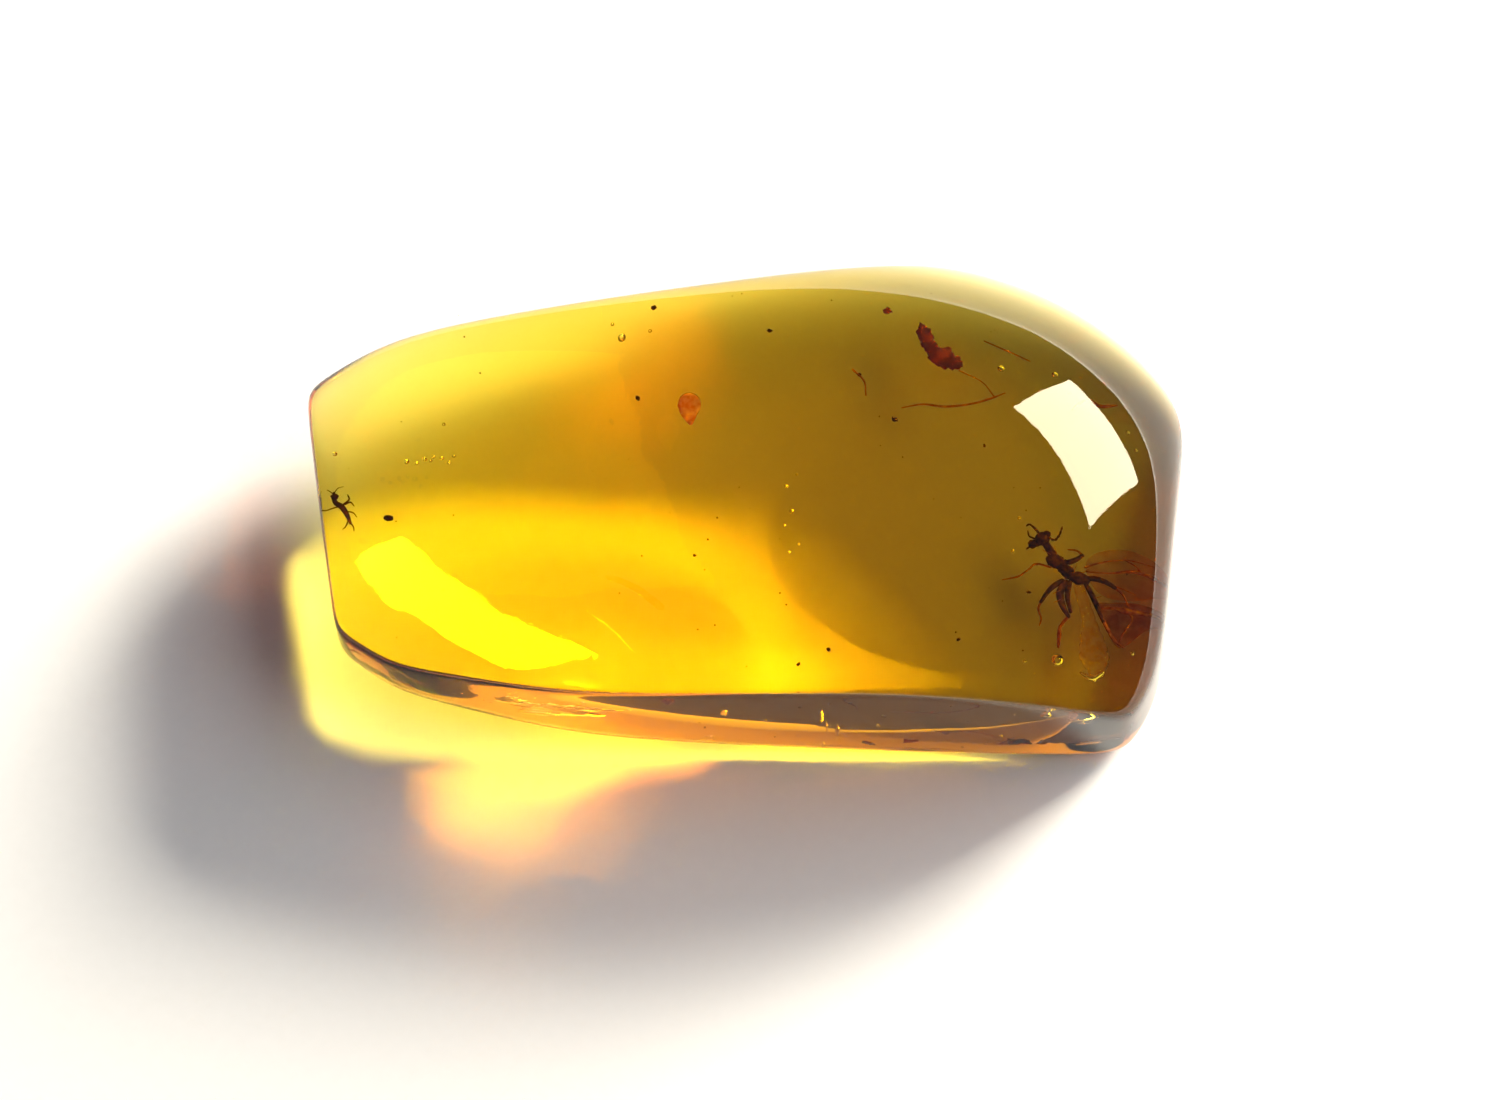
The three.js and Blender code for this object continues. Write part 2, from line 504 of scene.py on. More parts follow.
# %% [markdown]
# ## Finishes of what is inside
# Resin soaks into an insect and turns its skin dark brown and slightly glossy. Thin skin,
# such as a wing or a swollen abdomen, lets the golden light through and only tints it. Inside
# amber a surface bends light by the ratio of the two indices, so soft tissue soaked with
# resin gets an IOR close to 1, a little over it for skin and a little under it for the
# swollen abdomen, and an air bubble gets 1 divided by 1.54, which is 0.65.

# %% Finishes for skin, wings, plant and dust
IN_AMBER_TISSUE = 1.04  # index of resin-soaked tissue over that of amber
NOISE_LOW, NOISE_HIGH = 0.35, 0.65  # most of a noise texture lies between these
MIX_FIRST, MIX_SECOND, MIX_RESULT = 6, 7, 2  # the colour sockets of a Mix node


def mottled(tree, dark, light, size):
    """A colour that wanders between two hex colours, in blotches of a size in millimetres."""
    place = add_node(tree, "ShaderNodeTexCoord")
    blotches = add_node(tree, "ShaderNodeTexNoise", {
        "Vector": place.outputs["Object"], "Scale": 1 / (size * MM), "Detail": 3.0})
    spread = add_node(tree, "ShaderNodeMapRange", {
        "Value": blotches.outputs["Fac"], "From Min": NOISE_LOW, "From Max": NOISE_HIGH})
    shade = add_node(tree, "ShaderNodeMix", {
        "Factor": spread.outputs["Result"],
        MIX_FIRST: linear(dark), MIX_SECOND: linear(light)}, data_type="RGBA")
    return shade.outputs[MIX_RESULT], blotches.outputs["Fac"]


def inside_finish(name, dark, light, size, bump_height, settings):
    """A finish for something sealed in amber, mottled between two colours."""
    material, tree, output = new_material(name)
    colour, blotches = mottled(tree, dark, light, size)
    bump = add_node(tree, "ShaderNodeBump", {
        "Height": blotches, "Strength": 1.0, "Distance": bump_height * MM})
    shader = add_node(tree, "ShaderNodeBsdfPrincipled", {
        "Base Color": colour, "Normal": bump.outputs["Normal"], **settings})
    tree.links.new(shader.outputs["BSDF"], output.inputs["Surface"])
    return material


# Resin-soaked skin: nearly black brown, wrinkled, with a dull gloss.
CHITIN = inside_finish(
    "chitin_soaked_and_wrinkled", "#2a1406", "#5c300c", 0.12, 0.008, {
        "Roughness": 0.6, "IOR": 1.06, "Transmission Weight": 0.25})
# Leg ends and threads are thinner than the body, so more red light comes through them.
THIN_CHITIN = inside_finish(
    "chitin_thin_red_brown", "#8a3c14", "#c8782c", 0.15, 0.002, {
        "Roughness": 0.4, "IOR": 1.04, "Transmission Weight": 0.7})
# The swollen skin of the abdomen is pale and lets light through it, softened.
MEMBRANE = inside_finish(
    "membrane_swollen_pale", "#f4d088", "#fff6d0", 0.2, 0.004, {
        "Roughness": 0.08, "IOR": 0.955, "Transmission Weight": 0.97})
# Wings only tint what is behind them, twice: at the upper and at the lower skin.
WING = inside_finish(
    "wing_film_smooth_brown", "#f0c498", "#fce0bc", 0.5, 0.006, {
        "Roughness": 0.12, "IOR": IN_AMBER_TISSUE, "Transmission Weight": 1.0})
FOLDED_WING = inside_finish(
    "wing_film_folded_dark", "#d89464", "#f8d0a0", 0.45, 0.006, {
        "Roughness": 0.14, "IOR": IN_AMBER_TISSUE, "Transmission Weight": 1.0})
# A flake of bud scale or bark: rusty, dull, and a little see-through.
FLAKE = inside_finish(
    "flake_of_bark_rusty", "#c8742c", "#f8c878", 0.22, 0.01, {
        "Roughness": 0.5, "IOR": 1.04, "Transmission Weight": 0.8})
# A clot of older, darker resin: red brown and glossy like old varnish.
CLOT = inside_finish(
    "clot_of_dark_resin", "#6c1c08", "#b8501c", 0.3, 0.02, {
        "Roughness": 0.2, "IOR": 1.1, "Transmission Weight": 0.65})
DUST = inside_finish(
    "dust_of_wood_brown", "#2c1806", "#6a4514", 0.1, 0.01, {
        "Roughness": 0.8, "IOR": 1.1})
print("finishes:", [finish.name for finish in (
    CHITIN, THIN_CHITIN, MEMBRANE, WING, FOLDED_WING, FLAKE, CLOT, DUST)])

# %% Air
IN_AMBER_AIR = 0.65  # index of air over that of amber
FROST_SIZE, FROST_HEIGHT = 0.08, 0.001


def trapped_air(name, roughness):
    """Air inside amber: its skin mirrors everything that comes in at a slant."""
    material, tree, output = new_material(name)
    place = add_node(tree, "ShaderNodeTexCoord")
    frost = add_node(tree, "ShaderNodeTexNoise", {
        "Vector": place.outputs["Object"], "Scale": 1 / (FROST_SIZE * MM), "Detail": 2.0})
    ripple = add_node(tree, "ShaderNodeBump", {
        "Height": frost.outputs["Fac"], "Strength": 1.0, "Distance": FROST_HEIGHT * MM})
    shader = add_node(tree, "ShaderNodeBsdfPrincipled", {
        "Base Color": (1, 1, 1, 1), "Transmission Weight": 1.0, "IOR": IN_AMBER_AIR,
        "Roughness": roughness, "Normal": ripple.outputs["Normal"]})
    tree.links.new(shader.outputs["BSDF"], output.inputs["Surface"])
    return material


BUBBLE_AIR = trapped_air("air_bubble_smooth", 0.0)
CRACK_AIR = trapped_air("air_in_a_crack", 0.06)
print("finishes:", BUBBLE_AIR.name, CRACK_AIR.name)

# %% [markdown]
# ## The midge
# The larger insect is a midge, taken to be about 4 mm long. It died on its side at the thick
# end: the head is at the upper left, the humped thorax below it, and the pale abdomen,
# swollen by gas, hangs down to the front. The wings lie out to the right as brown films.
# Each leg is thick at the femur and thin from the knee. Sizes are measured from the middle of
# the thorax: to the right, to the back, and up.

# %% Midge body
MIDGE_AT = np.array([8.28, -2.82, 2.35])
MIDGE_SLOPE = -0.13  # it lies along the dome, which falls away to the right


def on_midge(knots):
    """Knots measured from the middle of the thorax, moved to where the midge lies."""
    moved = []
    for right, back, up, radius in knots:
        x, y, z = MIDGE_AT + np.array([right, back, up + MIDGE_SLOPE * right])
        moved.append((x, y, z, radius))
    return moved


def midge_grain(right, back, up, reach, **settings):
    """A grain of the midge, measured from the middle of its thorax."""
    x, y, z, _ = on_midge([(right, back, up, 0)])[0]
    return grain((x, y, z), reach, **settings)


HEAD = [
    midge_grain(-0.64, 0.90, 0.02, (0.20, 0.18, 0.18), uneven=0.25, seed=1, level=3, turn=0.6),
    midge_grain(-0.88, 0.74, -0.04, (0.14, 0.11, 0.12), uneven=0.4, seed=2, level=3),
    midge_grain(-0.50, 1.02, 0.12, (0.11, 0.09, 0.09), uneven=0.1, seed=3, level=3),
]
THORAX = [
    midge_grain(-0.30, 0.28, 0.05, (0.26, 0.22, 0.24), uneven=0.3, seed=4, level=3, turn=-0.3),
    midge_grain(-0.02, 0.02, 0.0, (0.20, 0.19, 0.2), uneven=0.5, seed=5, level=3, turn=-0.6),
    midge_grain(0.30, -0.17, 0.03, (0.30, 0.17, 0.24), uneven=0.3, seed=6, level=3, turn=-0.15),
    midge_grain(-0.08, 0.22, 0.2, (0.12, 0.10, 0.08), uneven=0.4, seed=7, level=3),
]
NECK = [tube(on_midge([(-0.58, 0.82, 0, 0.11), (-0.44, 0.58, 0, 0.12), (-0.34, 0.40, 0, 0.14)]))]
ANTENNAE = [
    tube(on_midge([(-0.50, 0.96, 0.1, 0.045), (-0.30, 0.84, 0.2, 0.04), (-0.16, 1.0, 0.25, 0.035),
                   (-0.08, 1.24, 0.22, 0.02)]), groove=0.45, grooves=12),
    tube(on_midge([(-0.72, 1.04, 0.1, 0.04), (-0.84, 1.16, 0.2, 0.035), (-0.95, 1.24, 0.2, 0.03),
                   (-1.04, 1.20, 0.15, 0.02)]), groove=0.45, grooves=10),
    tube(on_midge([(-0.78, 0.90, -0.1, 0.03), (-0.98, 0.98, -0.14, 0.025),
                   (-1.02, 1.12, -0.1, 0.02)])),
    tube(on_midge([(-0.95, 0.70, -0.1, 0.03), (-1.06, 0.62, -0.15, 0.02)])),
]
THIGHS = [
    # up to the right, bent back over the thorax
    [(-0.16, 0.26, 0.1, 0.06), (0.08, 0.22, 0.3, 0.075), (0.27, 0.28, 0.4, 0.07),
     (0.45, 0.42, 0.36, 0.05)],
    # the two left legs, down and to the left
    [(-0.14, -0.26, 0, 0.07), (-0.36, -0.44, 0.06, 0.075), (-0.54, -0.66, 0.1, 0.06),
     (-0.72, -0.93, 0.04, 0.045)],
    [(-0.05, -0.30, 0, 0.09), (-0.20, -0.62, 0.1, 0.105), (-0.16, -0.96, 0.16, 0.10),
     (0.0, -1.30, 0.12, 0.06)],
    [(0.06, -0.30, 0.06, 0.07), (0.0, -0.74, 0.2, 0.08), (0.07, -1.18, 0.2, 0.05)],
    # the right middle leg, level, and the right hind leg along the abdomen
    [(0.48, -0.14, 0, 0.07), (0.78, -0.15, 0.08, 0.085), (1.05, -0.22, 0.08, 0.075),
     (1.27, -0.34, 0.02, 0.055)],
    [(0.48, -0.30, 0, 0.07), (0.68, -0.70, 0.06, 0.09), (0.82, -1.08, 0.04, 0.07),
     (0.92, -1.34, 0, 0.05)],
]
SHINS = [
    [(0.45, 0.42, 0.36, 0.04), (0.30, 0.56, 0.3, 0.03), (0.05, 0.60, 0.2, 0.02)],
    [(-0.72, -0.93, 0.04, 0.035), (-0.80, -1.10, -0.1, 0.03), (-0.74, -1.34, -0.22, 0.025),
     (-0.80, -1.52, -0.3, 0.015)],
    [(0.0, -1.30, 0.12, 0.045), (-0.22, -1.60, 0.1, 0.045), (-0.26, -1.84, 0.04, 0.06),
     (-0.30, -2.15, -0.05, 0.035)],
    [(-0.44, 0.10, 0, 0.03), (-0.82, 0.18, -0.05, 0.03), (-1.02, 0.02, -0.1, 0.025),
     (-1.28, -0.18, -0.15, 0.025), (-1.55, -0.26, -0.2, 0.02), (-1.72, -0.30, -0.22, 0.015)],
    [(1.27, -0.34, 0.02, 0.04), (1.48, -0.52, -0.05, 0.03), (1.60, -0.80, -0.1, 0.02)],
    [(0.92, -1.34, 0, 0.045), (1.08, -1.66, 0, 0.05), (1.22, -1.86, -0.05, 0.045),
     (1.42, -1.98, -0.1, 0.025)],
]
BRISTLES = [
    [(-0.40, 0.42, 0.18, 0.01), (-0.62, 0.50, 0.34, 0.006)],
    [(-0.24, 0.42, 0.2, 0.01), (-0.30, 0.62, 0.36, 0.006)],
    [(0.20, 0.0, 0.22, 0.01), (0.30, 0.16, 0.42, 0.006)],
    [(0.42, -0.04, 0.2, 0.01), (0.62, 0.06, 0.34, 0.006)],
    [(-0.20, -0.60, 0.2, 0.01), (-0.38, -0.72, 0.28, 0.006)],
    [(-0.18, -0.86, 0.24, 0.01), (-0.36, -0.98, 0.3, 0.006)],
    [(0.74, -0.72, 0.14, 0.01), (0.92, -0.66, 0.22, 0.006)],
]
body_parts = HEAD + THORAX + NECK + ANTENNAE
body_parts += [tube(on_midge(knots)) for knots in THIGHS]
make_piece("midge_body", *join(body_parts), CHITIN, "insect")
shin_parts = [tube(on_midge(knots), groove=0.2, grooves=7) for knots in SHINS]
shin_parts += [tube(on_midge(knots)) for knots in BRISTLES]
make_piece("midge_shins_and_bristles", *join(shin_parts), THIN_CHITIN, "insect")

# %% Midge abdomen
ABDOMEN = [
    (0.26, -0.30, -0.06, 0.15), (0.38, -0.72, -0.08, 0.18), (0.50, -1.20, -0.12, 0.20),
    (0.56, -1.60, -0.16, 0.28), (0.60, -2.00, -0.20, 0.40), (0.63, -2.34, -0.22, 0.42),
    (0.66, -2.62, -0.24, 0.30),
]
make_piece(
    "midge_abdomen", *tube(on_midge(ABDOMEN), steps=8, groove=0.12, grooves=8), MEMBRANE, "insect")

# %% Midge wings
WING_THICKNESS = 0.03
WING_DROP = 0.12  # how far under the middle of the thorax the wings lie
WING_STEEPNESS = 1.6  # they slope down to the right this many times as steeply as the body
RIPPLE, RIPPLES_PER_MM = 0.05, 2.2  # and they are slightly crumpled


def wing_height(x, y):
    """Height of the crumpled wings over the ground."""
    right = x - MIDGE_AT[0]
    crumple = noise.noise(Vector((x * RIPPLES_PER_MM, y * RIPPLES_PER_MM, 0.5)))
    return MIDGE_AT[2] - WING_DROP + MIDGE_SLOPE * right * WING_STEEPNESS + RIPPLE * crumple


def wing(outline):
    """A wing's thin sheet, from an outline measured from the middle of the thorax."""
    outline = [(MIDGE_AT[0] + right, MIDGE_AT[1] + back) for right, back in outline]
    return sheet(outline, WING_THICKNESS, wing_height)


def vein(knots):
    """A tube that follows the crumpled wing."""
    rows = []
    for right, back, radius in knots:
        x, y = MIDGE_AT[0] + right, MIDGE_AT[1] + back
        rows.append((x, y, wing_height(x, y), radius))
    return tube(rows)


BACK_WING = [
    (0.48, 0.30), (0.70, 0.62), (1.15, 0.80), (1.75, 0.84), (2.35, 0.62), (2.66, 0.18),
    (2.50, -0.22), (2.05, -0.50), (1.50, -0.62), (0.92, -0.56), (0.58, -0.20),
]
FRONT_WING = [
    (0.70, -0.82), (1.10, -0.72), (1.75, -0.66), (2.40, -0.74), (2.66, -0.90), (2.30, -1.16),
    (1.92, -1.44), (1.56, -1.82), (1.28, -1.98), (1.05, -1.70), (0.86, -1.24),
]
VEINS = [
    [(0.46, 0.22, 0.03), (0.95, 0.42, 0.022), (1.60, 0.56, 0.018), (2.30, 0.50, 0.012)],
    [(0.50, 0.10, 0.025), (1.10, 0.12, 0.02), (1.80, 0.26, 0.05), (2.50, 0.10, 0.06)],
    [(0.56, -0.06, 0.022), (1.20, -0.22, 0.016), (1.80, -0.40, 0.012)],
    [(1.55, 0.55, 0.014), (1.85, 0.40, 0.02), (1.95, 0.22, 0.024)],
    [(0.72, -0.92, 0.028), (1.20, -0.88, 0.05), (1.55, -0.92, 0.10), (2.56, -0.90, 0.02)],
    [(1.50, -0.92, 0.04), (1.66, -1.12, 0.03), (1.40, -1.56, 0.018), (1.26, -1.90, 0.014)],
    [(0.86, -1.12, 0.02), (1.05, -1.50, 0.02), (1.24, -1.84, 0.014)],
]
make_piece("midge_back_wing", *wing(BACK_WING), WING, "film")
make_piece("midge_front_wing", *wing(FRONT_WING), FOLDED_WING, "film")
make_piece("midge_wing_veins", *join([vein(knots) for knots in VEINS]), THIN_CHITIN, "insect")

# %% [markdown]
# ## The small fly
# At the thin end a second insect of about 1 mm shows only its dark body, a few crooked legs
# and two antennae. Next to it lies one dark crumb.

# %% Small fly
FLY_AT = np.array([-10.9, -1.1, 3.0])
FLY_THINNESS = 0.72  # its radii are this share of the ones below


def on_fly(knots):
    """Knots measured from the fly's middle, moved to where it lies and thinned."""
    return [(*(FLY_AT + np.array(knot[:3])), FLY_THINNESS * knot[3]) for knot in knots]


FLY = [
    [(-0.30, 0.42, 0, 0.05), (-0.26, 0.16, 0.02, 0.09), (-0.08, 0.0, 0.03, 0.11),
     (0.06, -0.22, 0, 0.09), (0.16, -0.46, -0.03, 0.05)],
    [(-0.06, 0.06, 0.05, 0.035), (0.10, 0.20, 0.1, 0.035), (0.06, 0.34, 0.1, 0.02)],
    [(0.0, 0.08, 0.05, 0.035), (0.14, 0.12, 0.12, 0.03), (0.24, 0.02, 0.08, 0.02)],
    [(-0.12, 0.04, 0, 0.03), (-0.34, -0.02, -0.05, 0.025), (-0.46, -0.10, -0.08, 0.015)],
    [(0.10, -0.36, 0, 0.03), (0.04, -0.54, -0.03, 0.025), (-0.04, -0.62, -0.05, 0.015)],
    [(0.15, -0.44, 0, 0.03), (0.24, -0.56, -0.03, 0.025), (0.26, -0.68, -0.05, 0.015)],
    [(0.02, -0.12, 0.03, 0.03), (0.22, -0.18, 0.1, 0.025), (0.32, -0.30, 0.06, 0.015)],
    [(-0.30, 0.40, 0.02, 0.02), (-0.20, 0.54, 0.08, 0.015), (-0.06, 0.58, 0.1, 0.01)],
    [(-0.32, 0.40, 0.02, 0.02), (-0.44, 0.50, 0.06, 0.012)],
]
fly_parts = [tube(on_fly(knots)) for knots in FLY]
fly_parts.append(grain(FLY_AT + (-0.27, 0.30, 0.03), (0.1, 0.09, 0.08), 0.4, seed=21))
fly_parts.append(grain((-9.72, -1.43, 3.0), (0.13, 0.08, 0.07), 0.7, seed=22, turn=-0.3))
make_piece("small_fly", *join(fly_parts), CHITIN, "insect")

# %% [markdown]
# ## Bits of plant and old resin
# A rusty flake floats over the middle. To its right, near the back, hangs a dark red clot
# with a smear above it, and a thin brown thread runs from there towards the thick end.

# %% Flake, clot and threads
FLAKE_AT = (-1.58, 1.86)
FLAKE_HEIGHT, FLAKE_THICKNESS = 2.6, 0.16
FLAKE_CRUMPLE, FLAKE_CRUMPLES_PER_MM = 0.12, 3
FLAKE_LEAN = 0.2  # how far it drops to the right per millimetre
FLAKE_OUTLINE = [
    (-0.28, 0.26), (-0.05, 0.42), (0.20, 0.34), (0.30, 0.08), (0.20, -0.22), (0.02, -0.54),
    (-0.16, -0.28), (-0.32, -0.02),
]


def flake_height(x, y):
    """Height of the crumpled flake over the ground."""
    crumple = noise.noise(Vector((x * FLAKE_CRUMPLES_PER_MM, y * FLAKE_CRUMPLES_PER_MM, 2.0)))
    return FLAKE_HEIGHT + FLAKE_CRUMPLE * crumple - FLAKE_LEAN * (x - FLAKE_AT[0])


flake_rim = [(FLAKE_AT[0] + x, FLAKE_AT[1] + y) for x, y in FLAKE_OUTLINE]
flake_parts = [sheet(flake_rim, FLAKE_THICKNESS, flake_height)]
flake_parts.append(tube([
    (FLAKE_AT[0] - 0.3, FLAKE_AT[1] + 0.05, 2.64, 0.045),
    (FLAKE_AT[0] - 0.2, FLAKE_AT[1] - 0.22, 2.62, 0.05),
    (FLAKE_AT[0] + 0.0, FLAKE_AT[1] - 0.50, 2.58, 0.03)]))
make_piece("bark_flake", *join(flake_parts), FLAKE, "film")

clot_parts = [
    grain((5.18, 3.16, 3.0), (0.46, 0.28, 0.24), 0.9, 1.8, seed=31, level=3, turn=-0.4),
    grain((5.42, 3.0, 3.0), (0.26, 0.2, 0.18), 0.8, 2.2, seed=32, level=3),
    grain((4.86, 3.46, 2.95), (0.18, 0.3, 0.12), 0.9, 2.0, seed=33, level=3, turn=0.3),
    grain((4.72, 3.86, 2.85), (0.2, 0.3, 0.08), 0.8, 2.0, seed=34, level=3, turn=0.2),
    grain((3.71, 4.62, 2.5), (0.12, 0.1, 0.08), 0.8, seed=35),
]
make_piece("resin_clot", *join(clot_parts), CLOT, "film")

THREADS = [
    [(2.75, 2.70, 3.0, 0.03), (3.05, 2.35, 3.05, 0.025), (3.10, 1.95, 3.0, 0.02)],
    [(4.05, 1.62, 2.9, 0.016), (4.60, 1.72, 2.95, 0.03), (5.20, 1.66, 3.0, 0.035),
     (5.90, 1.78, 2.95, 0.03), (6.40, 1.98, 2.85, 0.03), (6.80, 2.20, 2.7, 0.016)],
    [(8.60, 1.95, 2.3, 0.03), (9.00, 2.28, 2.2, 0.055), (9.40, 2.16, 2.1, 0.06),
     (9.85, 2.30, 1.9, 0.03)],
    [(6.30, 3.80, 2.5, 0.02), (6.90, 3.55, 2.4, 0.03), (7.50, 3.30, 2.3, 0.02)],
    [(5.60, 2.75, 3.0, 0.02), (6.20, 2.45, 2.95, 0.016), (6.50, 2.05, 2.9, 0.02)],
]
make_piece("plant_threads", *join([tube(knots) for knots in THREADS]), THIN_CHITIN, "film")

# %% [markdown]
# ## Bubbles, crumbs and flow
# Air bubbles show as rings with a bright spot, because their skin mirrors the window. A row
# of them lies at the thin end, and single ones are scattered over the whole stone. Brown
# crumbs of wood are strewn between them. One faint streak marks where two flows of resin met.

# %% Bubbles
BUBBLES = [  # x, y, z, radius
    (-9.28, 0.23, 3.0, 0.07), (-9.00, 0.17, 3.05, 0.05), (-8.79, 0.29, 3.0, 0.06),
    (-8.63, 0.22, 3.1, 0.045), (-8.55, 0.36, 3.0, 0.05), (-8.33, 0.32, 3.0, 0.06),
    (-8.13, 0.17, 3.05, 0.05), (-8.00, 0.38, 3.0, 0.05),
    (-11.2, 0.56, 2.6, 0.06), (-8.30, 1.32, 3.0, 0.05),
    (-3.50, 3.75, 2.8, 0.11), (-3.77, 4.10, 2.8, 0.05), (-2.74, 3.90, 2.8, 0.05),
    (1.03, -0.61, 3.0, 0.06), (1.17, -1.34, 3.0, 0.06), (1.30, -0.30, 3.1, 0.035),
    (0.98, -1.75, 3.0, 0.035), (1.36, -2.30, 3.0, 0.03), (1.10, -2.55, 3.1, 0.035),
    (6.72, 2.95, 2.6, 0.10), (8.18, 2.95, 2.3, 0.09), (8.40, 2.60, 2.3, 0.06),
    (8.55, 2.42, 2.3, 0.05), (10.10, 1.50, 1.9, 0.06), (10.30, 1.00, 1.9, 0.05),
    (7.95, -5.31, 2.3, 0.16), (8.90, -5.75, 2.1, 0.05), (7.10, -5.40, 2.4, 0.05),
    (6.85, -2.30, 2.4, 0.045), (7.05, -1.35, 2.4, 0.05), (9.90, -4.90, 1.9, 0.05),
]
bubble_parts = [grain((x, y, z), (r, r, r), level=3) for x, y, z, r in BUBBLES]
# a sliver of gas under the skin at the end of the abdomen
bubble_parts.append(tube([
    (8.55, -5.62, 2.25, 0.03), (8.85, -5.74, 2.25, 0.07), (9.14, -5.58, 2.2, 0.03)]))
make_piece("air_bubbles", *join(bubble_parts), BUBBLE_AIR, "bubble")

# %% Crumbs
CRUMBS = [  # x, y, z, reach
    (-1.45, -2.72, 3.5, 0.05), (1.33, -5.72, 3.0, 0.06), (2.13, -5.31, 3.0, 0.06),
    (0.52, 3.86, 3.0, 0.07), (-2.65, 4.58, 2.9, 0.09), (-3.00, 2.05, 2.9, 0.08),
    (7.23, -3.44, 2.3, 0.06), (5.40, -4.90, 2.6, 0.06), (6.20, 0.60, 2.8, 0.05),
    (3.85, 1.27, 3.0, 0.09), (2.92, 2.55, 3.0, 0.06),
]
SCATTERED = 60  # how many more places are tried
SCATTER_REACH = (11.0, 5.6, 1.1)  # how far from the middle they may be
SCATTER_HEIGHT = 2.0
HEADROOM = 0.5  # resin that has to be left over a crumb
SMALLEST_CRUMB, CRUMB_SPREAD = 0.012, 0.018
noise.seed_set(7)  # the same crumbs in every run
crumb_parts = [
    grain((x, y, z), (r, 0.7 * r, 0.6 * r), 0.8, seed=60 + i, turn=i)
    for i, (x, y, z, r) in enumerate(CRUMBS)]
for i in range(SCATTERED):
    spot = noise.random_vector()
    x, y = spot.x * SCATTER_REACH[0], spot.y * SCATTER_REACH[1]
    z = SCATTER_HEIGHT + spot.z * SCATTER_REACH[2]
    above = crowding(np.array([x, y, z - HEART_HEIGHT + HEADROOM]))[0]
    if above < 1:
        r = SMALLEST_CRUMB + CRUMB_SPREAD * noise.random() ** 2
        crumb_parts.append(grain((x, y, z), (r, r, r), 0.6, seed=i, level=1))
make_piece("crumbs", *join(crumb_parts), DUST, "film")

# %% Flow streak
STREAK = [(-3.75, -2.90), (-3.30, -3.06), (-2.80, -3.36), (-2.25, -3.86), (-2.38, -3.98),
          (-2.90, -3.52), (-3.36, -3.22), (-3.80, -3.00)]
FLOW = inside_finish(
    "flow_film_smooth", "#fff4d8", "#ffffff", 0.5, 0.01, {
        "Roughness": 0.0, "IOR": 0.97, "Transmission Weight": 1.0})
make_piece("flow_streak", *sheet(STREAK, 0.05, lambda x, y: 2.2 + 0.2 * (x + 3)), FLOW, "film")

# %% [markdown]
# ## Cracks in the front wall
# Tiny flat cracks just behind the front wall hold a film of air, and they glitter gold because
# they mirror the pool. A crack can't be painted on the skin, since it has to flash from some
# sides only, so each one is a thin leaf of air. How deep the wall lies at a place is read
# from the same formula that made the skin.

# %% Cracks
CRACKS = [  # x, z, half width, half height, lean
    (-5.0, 3.0, 1.10, 0.42, -0.16), (-6.3, 3.2, 0.45, 0.30, -0.22),
    (-4.1, 3.3, 0.60, 0.14, -0.10), (-5.6, 2.5, 0.50, 0.12, -0.25),
    (-7.86, 3.0, 0.05, 0.04, -0.3), (-7.67, 3.1, 0.04, 0.03, 0.2), (-7.34, 3.9, 0.05, 0.05, 0.1),
    (-7.28, 3.6, 0.03, 0.05, -0.2), (-7.12, 2.9, 0.05, 0.04, 0.0), (-6.36, 3.7, 0.07, 0.03, 0.3),
    (-6.20, 3.9, 0.06, 0.05, -0.1), (-6.12, 3.6, 0.03, 0.04, 0.1), (-5.70, 3.7, 0.06, 0.03, 0.2),
    (-4.40, 3.8, 0.07, 0.04, 0.3), (-6.90, 2.8, 0.05, 0.05, -0.1), (-3.2, 3.4, 0.05, 0.04, 0.1),
    (-1.30, 1.2, 0.34, 0.06, -0.2), (-1.10, 1.5, 0.16, 0.04, 0.1), (-0.70, 3.4, 0.08, 0.22, -0.1),
    (1.90, 3.2, 0.03, 0.50, -0.1), (1.98, 0.9, 0.03, 0.22, 0.1), (2.33, 1.9, 0.04, 0.60, -0.15),
    (2.05, 2.4, 0.02, 0.30, 0.0), (3.4, 2.6, 0.05, 0.08, 0.2), (0.4, 2.9, 0.04, 0.05, 0.1),
]
WALL_DEPTH = 0.14  # how far behind the wall the cracks lie
CRACK_HALF_THICKNESS = 0.012
DEEPEST_WALL = 12.0  # the front wall is nearer to the heart than this
WALL_STEP = 0.001  # how closely it is found


def front_wall(x, z):
    """Where the front wall is at a place, found by halving."""
    heart = np.array([x + middle_of_box[0], 0, z - HEART_HEIGHT])
    inside, outside = 0.0, DEEPEST_WALL
    while outside - inside > WALL_STEP:
        heart[1] = -(inside + outside) / 2
        if crowding(heart)[0] > 1:
            outside = -heart[1]
        else:
            inside = -heart[1]
    return -inside - middle_of_box[1]


def crack(x, z, half_width, half_height, lean, seed):
    """A leaf of air with an uneven rim. Lean is how far its top tips back per millimetre."""
    y = front_wall(x, z) + WALL_DEPTH + abs(lean) * half_height
    points, faces = grain(
        (x, y, z), (half_width, CRACK_HALF_THICKNESS, half_height), 0.9, 2.4,
        seed=90 + seed, level=3)
    leaning = [(px, py + lean * (pz - z), pz) for px, py, pz in points]
    return leaning, faces


crack_parts = [crack(*place, seed) for seed, place in enumerate(CRACKS)]
make_piece("wall_cracks", *join(crack_parts), CRACK_AIR, "bubble")

# %% [markdown]
# ## Table and light
# The stone lies on white card. One window to the right and behind it gives the light: it
# makes the curved patch on the shoulder, the bright pool under the stone and the soft shadow
# to the left. Polish mirrors a lamp far too brightly, so the window is two lamps in one place:
# a dim cream one that shows in the polish, and a bright one that doesn't. A soft box from the
# right fills the shadow in front, and the rest of the room is dim. The card lies a hair's
# breadth under the stone, because polished resin on card is touched only at a few points, and
# the air between them is what keeps light inside the stone.

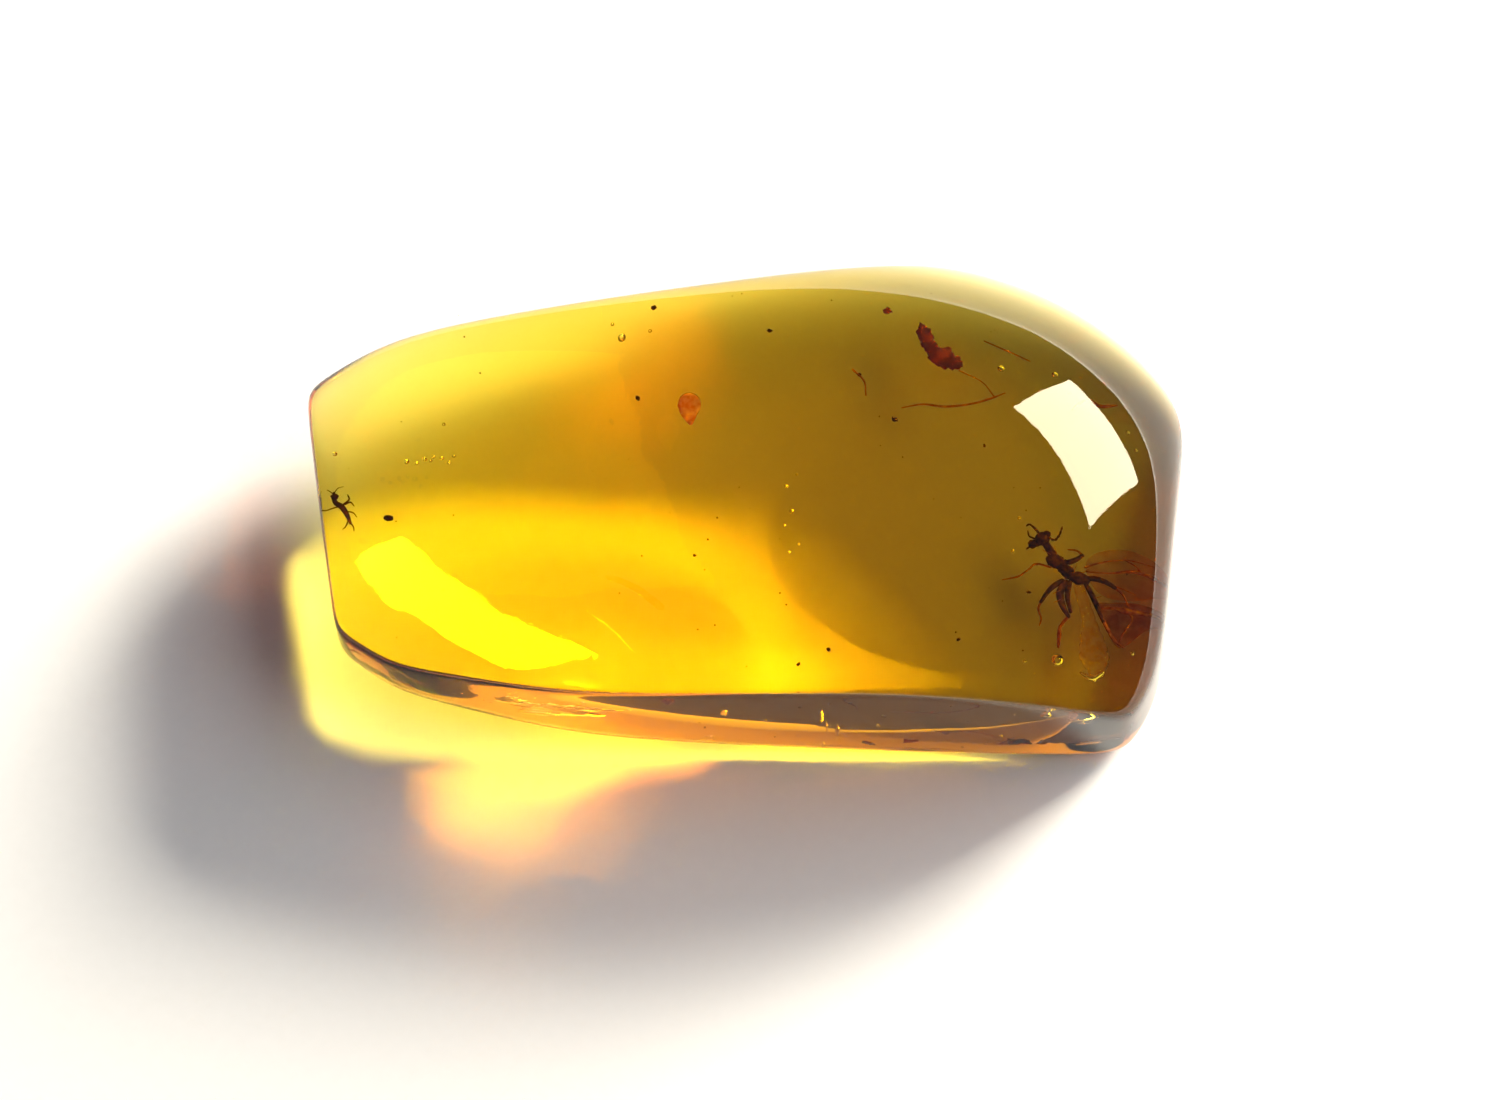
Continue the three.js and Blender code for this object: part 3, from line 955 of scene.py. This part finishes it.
# %% Card
CARD_GAP = 0.02
CARD_HALF = 600.0  # half of its side
FIBRE_SIZE, FIBRE_HEIGHT = 0.4, 0.01


def white_card():
    """White card with faint fibres and no gloss."""
    material, tree, output = new_material("card_uncoated_white")
    place = add_node(tree, "ShaderNodeTexCoord")
    fibres = add_node(tree, "ShaderNodeTexNoise", {
        "Vector": place.outputs["Object"], "Scale": 1 / (FIBRE_SIZE * MM), "Detail": 4.0})
    shade = add_node(tree, "ShaderNodeMix", {
        "Factor": fibres.outputs["Fac"],
        MIX_FIRST: linear("#ededeb"), MIX_SECOND: linear("#f1f1ef")}, data_type="RGBA")
    bump = add_node(tree, "ShaderNodeBump", {
        "Height": fibres.outputs["Fac"], "Strength": 0.2, "Distance": FIBRE_HEIGHT * MM})
    shader = add_node(tree, "ShaderNodeBsdfPrincipled", {
        "Base Color": shade.outputs[MIX_RESULT], "Roughness": 1.0, "Specular IOR Level": 0.0,
        "Normal": bump.outputs["Normal"]})
    tree.links.new(shader.outputs["BSDF"], output.inputs["Surface"])
    return material


card_mesh = bpy.data.meshes.new("card")
card_corners = [(-1, -1), (1, -1), (1, 1), (-1, 1)]
card_mesh.from_pydata(
    [(x * CARD_HALF * MM, y * CARD_HALF * MM, -CARD_GAP * MM) for x, y in card_corners],
    [], [(0, 1, 2, 3)])
card_mesh.materials.append(white_card())
card = bpy.data.objects.new("card", card_mesh)
bpy.context.collection.objects.link(card)

# %% Lamps
LAMP_TARGET = Vector((0, 0, 2))  # every lamp faces the middle of the stone


def add_lamp(name, direction, height, distance, size, radiance, colour, mirrored):
    """A square lamp that faces the stone. Angles in degrees, lengths in millimetres."""
    data = bpy.data.lights.new(name, "AREA")
    data.shape = "SQUARE"
    data.size = size * MM
    data.color = linear(colour)[:3]
    data.energy = radiance * math.pi * (size * MM) ** 2
    lamp = bpy.data.objects.new(name, data)
    way = Vector(towards(math.radians(direction), math.radians(height)))
    lamp.location = (way * distance + LAMP_TARGET) * MM
    lamp.rotation_euler = (-way).to_track_quat("-Z", "Y").to_euler()
    lamp.visible_glossy = mirrored
    bpy.context.collection.objects.link(lamp)
    print(name, round(data.energy, 2), "W")


# Two lamps at the very same distance would hide each other, so the bright one is just behind.
add_lamp("window_sky", 42, 22.5, 300, 118, 20.0, "#fff0cc", True)
add_lamp("window_sun", 42, 22.5, 310, 122, 52.0, "#fffaf0", False)
add_lamp("soft_box", 8, 36, 400, 420, 2.3, "#ffffff", False)

# %% Room
ROOM_STRENGTH = 0.14
room = bpy.data.worlds.new("room")
room.use_nodes = True
room.node_tree.nodes["Background"].inputs["Color"].default_value = linear("#f4eef8")
room.node_tree.nodes["Background"].inputs["Strength"].default_value = ROOM_STRENGTH
scene = bpy.context.scene
scene.world = room
print("room strength:", ROOM_STRENGTH)

# %% [markdown]
# ## Camera and how light is counted
# A long lens looks steeply down on the stone. Cycles by default blurs and dims light that has
# been through glass, to save noise, and that would wash the pool out, so both are turned off.

# %% Camera
CAMERA_TILT = math.radians(68)
LENS = 100.0
SENSOR = 36.0
VIEW_WIDTH = 41.096  # millimetres of the card that fit across the view
AIM = Vector((-0.004, -1.578, 1.61))  # what the camera looks at

camera_data = bpy.data.cameras.new("camera")
camera_data.lens = LENS
camera_data.sensor_width = SENSOR
camera_data.clip_start = 5 * MM
camera_data.clip_end = 5.0
camera = bpy.data.objects.new("camera", camera_data)
backwards = Vector(towards(math.radians(-90), CAMERA_TILT))
camera.location = (AIM + backwards * (VIEW_WIDTH * LENS / SENSOR)) * MM
camera.rotation_euler = (math.pi / 2 - CAMERA_TILT, 0, 0)
bpy.context.collection.objects.link(camera)
scene.camera = camera
scene.cycles.blur_glossy = 0
scene.cycles.sample_clamp_indirect = 0
scene.view_settings.view_transform = "Standard"
print("camera in mm:", [round(side / MM, 1) for side in camera.location])
